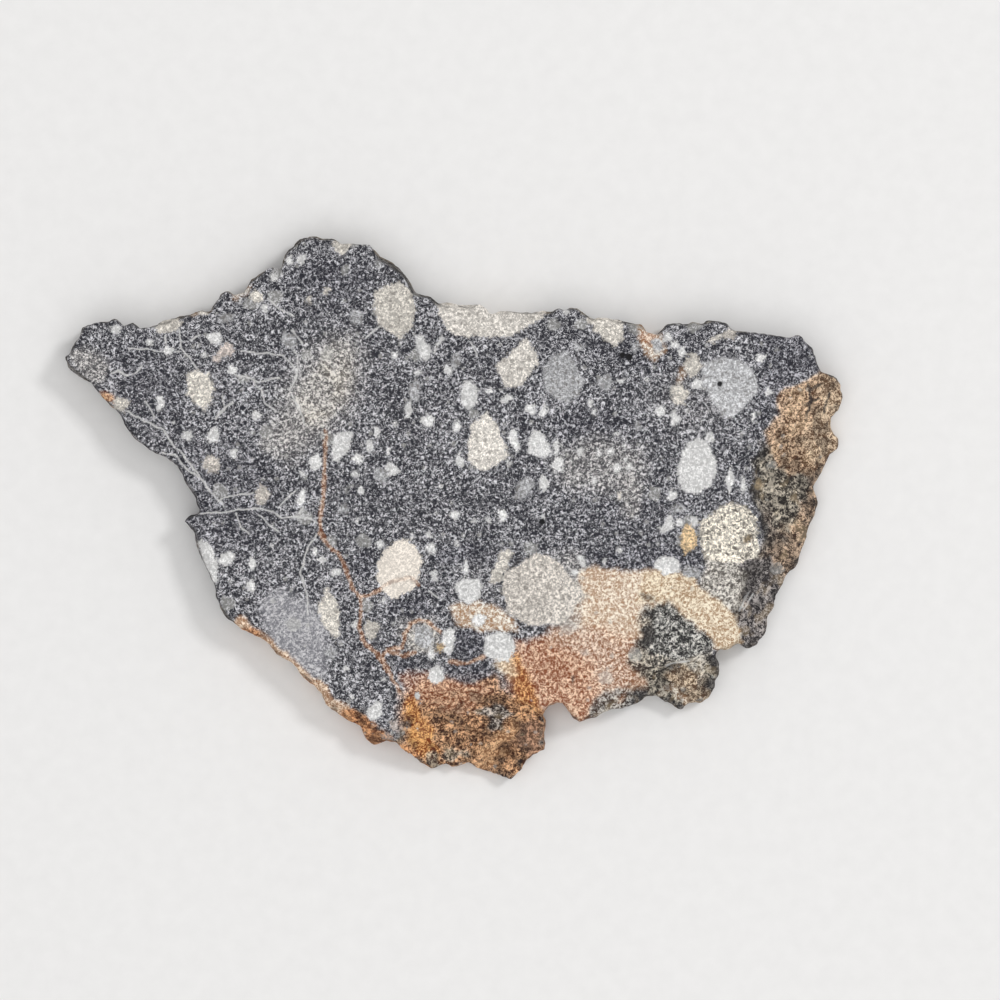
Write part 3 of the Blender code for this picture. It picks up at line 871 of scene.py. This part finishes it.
# %% Placed clasts, each with its own colour, grain and specks
edge = breccia.attribute("clast_edge") + (fine - 0.5) * 7.0 + (winding * 4.0)
halo = 1.0 - breccia.between(edge, 0.4, 2.6)
colour = breccia.mix(halo * 0.25, colour, paint((50, 50, 56)))
specks = breccia.between(breccia.noise(place, 3.6, detail=1.5, distortion=0.8), 0.53, 0.63)
shade = (level - 0.45) * (breccia.attribute("clast_specks") * 0.9 + 0.5) + 1.0
clast = breccia.mix(1.0, breccia.attribute("clast_colour", "Color"), shade, "MULTIPLY")
clast = breccia.mix(specks * breccia.attribute("clast_specks"), clast, paint((80, 74, 68)))
inside = 1.0 - breccia.between(edge, -1.2, 0.9)
colour = breccia.mix(inside, colour, clast)
print("with placed clasts:", len(breccia.nodes))

# %% Rust veins, which cut through everything
stained = 1.0 - breccia.between(breccia.attribute("rust_vein") + ragged * 1.6, 0.6, 3.2)
thread = breccia.mix(level, paint((116, 68, 42)), paint((234, 200, 168)))
colour = breccia.mix(stained * (0.8 - inside * 0.35), colour, thread)

# %% Painted shade in the pits and in the hollows of the skin, and a painted highlight on its knobs
# painted shade: each pit is painted black inside the hole
black = 1.0 - breccia.between(breccia.attribute("pit"), -0.5, 0.7)
colour = breccia.mix(black, colour, paint((22, 21, 24)))
# painted shade: the hollows of the rough skin are darkened
painted_hollow_shade = (1.0 - breccia.between(breccia.attribute("relief"), -0.28, 0.06)) * rough_skin
colour = breccia.mix(painted_hollow_shade * 0.5, colour, paint((36, 33, 32)))
# painted highlight: the knobs of coarse skin are lightened to tan
painted_knob_highlight = breccia.between(breccia.attribute("relief"), 0.08, 0.4) * bold * rough_skin
colour = breccia.mix(painted_knob_highlight * 0.25, colour, paint((214, 190, 152)))

# %% Roughness, fine bumps and the shader itself
bumps = fine * (0.15 + rough_skin * 0.85)
normal = breccia.add("ShaderNodeBump", {}, {"Strength": 0.35, "Distance": 0.06 * MM, "Height": bumps})
surface = breccia.add("ShaderNodeBsdfPrincipled", {}, {
    "Base Color": colour,
    "Roughness": 0.72 + rough_skin * 0.18 - inside * 0.12,
    "Normal": normal,
    "Specular IOR Level": 0.3,
})
breccia.show(surface)
print("nodes in the finish of the rock:", len(breccia.nodes))

# %% [markdown]
# ## The piece
#
# The finished mesh becomes one object, which is shown in place of the hidden solid and rides with the root
# body. Its object stays at the origin, because its place is in its mesh.

# %% Make the piece
rock.materials.clear()
rock.materials.append(breccia.material)
rock.polygons.foreach_set("use_smooth", np.ones(len(rock.polygons), bool))
piece = bpy.data.objects.new("breccia_slice", rock)
bpy.context.collection.objects.link(piece)
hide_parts(SLICE)
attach(piece, "root")
print("piece:", piece.name, "with", sum(len(face.vertices) - 2 for face in rock.polygons), "triangles")

# %% [markdown]
# ## The table, the light and the camera
#
# The slice was photographed from straight above on white paper. A soft lamp stands to its upper right,
# fifty degrees up, and drops a short shadow to its lower left. A wide pale card overhead and the light
# of the room fill that shadow. A long lens from far above keeps the rim from being seen at a slant.

# %% Paper
PAPER_SIDE = 1.2

paper = bpy.data.meshes.new("paper")
sheet = bmesh.new()
bmesh.ops.create_grid(sheet, x_segments=1, y_segments=1, size=PAPER_SIDE / 2)
sheet.to_mesh(paper)
sheet.free()
floor = bpy.data.objects.new("paper", paper)
bpy.context.collection.objects.link(floor)
pulp = Finish("white_paper")
sheet_place = pulp.add("ShaderNodeTexCoord", {}, {}, "Object")
tooth = pulp.noise(sheet_place, 900.0, detail=3.0)
white_paper = pulp.mix(tooth, paint((232, 231, 230)), paint((240, 239, 238)))
pulp.show(pulp.add("ShaderNodeBsdfPrincipled", {}, {
    "Base Color": white_paper, "Roughness": 0.95, "Specular IOR Level": 0.1,
}))
paper.materials.append(pulp.material)
print("paper", PAPER_SIDE, "m wide")

# %% Lights
MIDDLE = over((PHOTO_SIZE / 2, PHOTO_SIZE / 2))


def soft_lamp(name, bearing, height, distance, side, watts):
    """A square lamp that looks at the slice; bearing is in degrees from the right, height above level."""
    lamp = bpy.data.lights.new(name, "AREA")
    lamp.size = side
    lamp.energy = watts
    turn, rise = math.radians(bearing), math.radians(height)
    towards = Vector((math.cos(turn) * math.cos(rise), math.sin(turn) * math.cos(rise), math.sin(rise)))
    stand = bpy.data.objects.new(name, lamp)
    stand.location = MIDDLE + distance * towards
    stand.rotation_euler = towards.to_track_quat("Z", "Y").to_euler()
    bpy.context.collection.objects.link(stand)


soft_lamp("window", bearing=34, height=50, distance=0.8, side=0.16, watts=1.7)
soft_lamp("white_card", bearing=-100, height=78, distance=0.7, side=0.80, watts=1.9)
room = bpy.data.worlds.new("room")
room.use_nodes = True
room.node_tree.nodes["Background"].inputs["Color"].default_value = (1.0, 1.0, 1.0, 1.0)
room.node_tree.nodes["Background"].inputs["Strength"].default_value = 0.54
bpy.context.scene.world = room
bpy.context.scene.view_settings.view_transform = "Standard"
print("lamps:", len(bpy.data.lights))

# %% Camera
CAMERA_HEIGHT = 0.45

camera = bpy.data.cameras.new("from_above")
camera.lens = camera.sensor_width * (CAMERA_HEIGHT - high.z) / (PHOTO_SIZE * PIXEL)
camera.clip_end = 10.0
eye = bpy.data.objects.new("from_above", camera)
eye.location = MIDDLE + Vector((0, 0, CAMERA_HEIGHT))
bpy.context.collection.objects.link(eye)
bpy.context.scene.camera = eye
print("lens", round(camera.lens), "mm")
